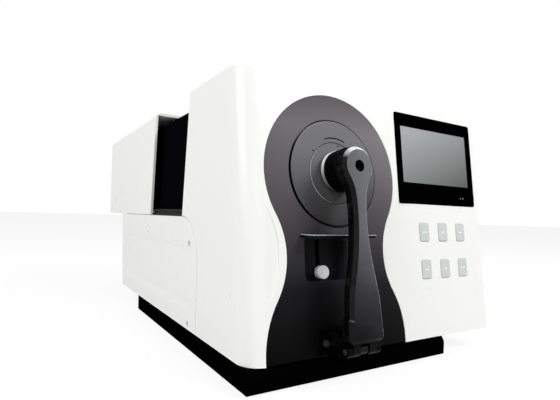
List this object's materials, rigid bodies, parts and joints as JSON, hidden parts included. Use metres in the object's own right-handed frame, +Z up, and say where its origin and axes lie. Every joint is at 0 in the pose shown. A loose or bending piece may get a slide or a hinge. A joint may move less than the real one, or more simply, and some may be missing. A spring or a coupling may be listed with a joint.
{
  "type": "color matching spectrophotometer",
  "caption": "Bench spectrophotometer with a swing arm at a front measuring port, a tilted display with keys, and a sliding lid over a cuvette chamber.",
  "frame": {"origin": "middle of the footprint box at bench level, with the lid slid open", "axes": "+X to the display side, +Y to the rear, +Z up; the front faces -Y"},
  "size_m": [0.312, 0.6204, 0.2736],
  "materials": {
    "white_case": "satin white",
    "plinth_black": "satin black",
    "feet_rubber": "matt",
    "panel_dark": "satin charcoal",
    "arm_grey": "satin dark anodised",
    "black_plastic": "matt black",
    "gloss_black": "gloss black",
    "screen_grey": "satin lcd",
    "led": "clear",
    "button_grey": "satin",
    "steel": "brushed",
    "bright": "polished",
    "alu": "brushed",
    "pad_rubber": "satin",
    "board_green": "satin",
    "clear_glass": "clear",
    "yellow_liquid": "clear yellow",
    "chamber_black": "matt black",
    "white_sphere": "matt white"
  },
  "bodies": {
    "casing": {"arm_bracket": "arm_grey", "arm_pivot_pin": "steel", "arm_spring": "steel", "base_plinth": "plinth_black", "button_board": "board_green", "case_screws": "steel", "chamber_front_wall": "chamber_black", "chamber_port_ring": "alu", "chamber_tub": "chamber_black", "chamber_window": "clear_glass", "data_socket": "steel", "display_bezel": "gloss_black", "display_module": "black_plastic", "display_screen": "screen_grey", "flash_lamp": "black_plastic", "front_housing": "white_case", "front_panel": "panel_dark", "lamp_housing": "alu", "lid_runners": "black_plastic", "main_board": "board_green", "optics_cover": "chamber_black", "pocket_liner": "black_plastic", "port_disc": "panel_dark", "port_tube": "alu", "power_inlet": "black_plastic", "power_supply": "steel", "rail_bed": "alu", "rear_casing": "white_case", "rear_io_panel": "black_plastic", "rubber_feet": "feet_rubber", "sample_shelf": "panel_dark", "source_barrel": "chamber_black", "spectrometer_block": "alu", "sphere_cradle": "alu", "sphere_lower": "white_sphere", "sphere_upper": "white_sphere", "status_leds": "led", "switch_frame": "black_plastic"},
    "aperture": {"aperture_ring": "panel_dark"},
    "selector": {"selector_slide": "steel", "selector_knob": "bright"},
    "arm": {"sample_arm": "arm_grey", "arm_hub": "arm_grey", "sample_pad": "pad_rubber", "arm_screw": "steel"},
    "lid": {"sliding_lid": "white_case"},
    "rocker": {"power_rocker": "gloss_black"},
    "carriage": {"holder_carriage": "chamber_black", "holder_disc": "chamber_black", "holder_bar": "steel"},
    "clip": {"spring_clip": "steel"},
    "sample": {"cuvette": "clear_glass", "sample_liquid": "yellow_liquid"},
    "clamp": {"clamp_screw": "black_plastic"},
    "button_1": {"button_1": "button_grey"},
    "button_2": {"button_2": "button_grey"},
    "button_3": {"button_3": "button_grey"},
    "button_4": {"button_4": "button_grey"},
    "button_5": {"button_5": "button_grey"},
    "button_6": {"button_6": "button_grey"}
  },
  "joints": [
    {"name": "arm_swing", "type": "hinge", "parent": "casing", "child": "arm", "pos_m": [-0.0587, -0.30097, 0.03185], "axis": [1, 0, 0], "range_deg": [0, 80], "stiffness_Nm_per_rad": 0.6, "springref_deg": -20.05},
    {"name": "lid_slide", "type": "slide", "parent": "casing", "child": "lid", "axis": [0, -1, 0], "range_m": [0, 0.1287]},
    {"name": "selector_slide", "type": "slide", "parent": "casing", "child": "selector", "axis": [0, 0.1297, 0.9916], "range_m": [0, 0.022]},
    {"name": "aperture_twist", "type": "hinge", "parent": "casing", "child": "aperture", "pos_m": [-0.0587, -0.25688, 0.18391], "axis": [0, -0.9916, 0.1297], "range_deg": [0, 30]},
    {"name": "power_rocker", "type": "hinge", "parent": "casing", "child": "rocker", "pos_m": [-0.05, 0.19171, 0.06433], "axis": [1, 0, 0], "range_deg": [-14, 0]},
    {"name": "carriage_slide", "type": "slide", "parent": "casing", "child": "carriage", "axis": [0, 1, 0], "range_m": [0, 0.04]},
    {"name": "cuvette_lift", "type": "slide", "parent": "carriage", "child": "sample", "axis": [0, 0, 1], "range_m": [0, 0.06]},
    {"name": "clip_pull", "type": "slide", "parent": "carriage", "child": "clip", "axis": [0, 1, 0], "range_m": [0, 0.003], "stiffness_N_per_m": 600, "springref_m": -0.0005},
    {"name": "clamp_turn", "type": "hinge", "parent": "carriage", "child": "clamp", "pos_m": [-0.0327, -0.08515, 0.1554], "axis": [1, 0, 0], "range_deg": [0, 270]},
    {"name": "button_1_press", "type": "slide", "parent": "casing", "child": "button_1", "axis": [0, 0.9916, -0.1297], "range_m": [0, 0.001], "stiffness_N_per_m": 600, "springref_m": -0.0005},
    {"name": "button_2_press", "type": "slide", "parent": "casing", "child": "button_2", "axis": [0, 0.9916, -0.1297], "range_m": [0, 0.001], "stiffness_N_per_m": 600, "springref_m": -0.0005},
    {"name": "button_3_press", "type": "slide", "parent": "casing", "child": "button_3", "axis": [0, 0.9916, -0.1297], "range_m": [0, 0.001], "stiffness_N_per_m": 600, "springref_m": -0.0005},
    {"name": "button_4_press", "type": "slide", "parent": "casing", "child": "button_4", "axis": [0, 0.9916, -0.1297], "range_m": [0, 0.001], "stiffness_N_per_m": 600, "springref_m": -0.0005},
    {"name": "button_5_press", "type": "slide", "parent": "casing", "child": "button_5", "axis": [0, 0.9916, -0.1297], "range_m": [0, 0.001], "stiffness_N_per_m": 600, "springref_m": -0.0005},
    {"name": "button_6_press", "type": "slide", "parent": "casing", "child": "button_6", "axis": [0, 0.9916, -0.1297], "range_m": [0, 0.001], "stiffness_N_per_m": 600, "springref_m": -0.0005}
  ]
}
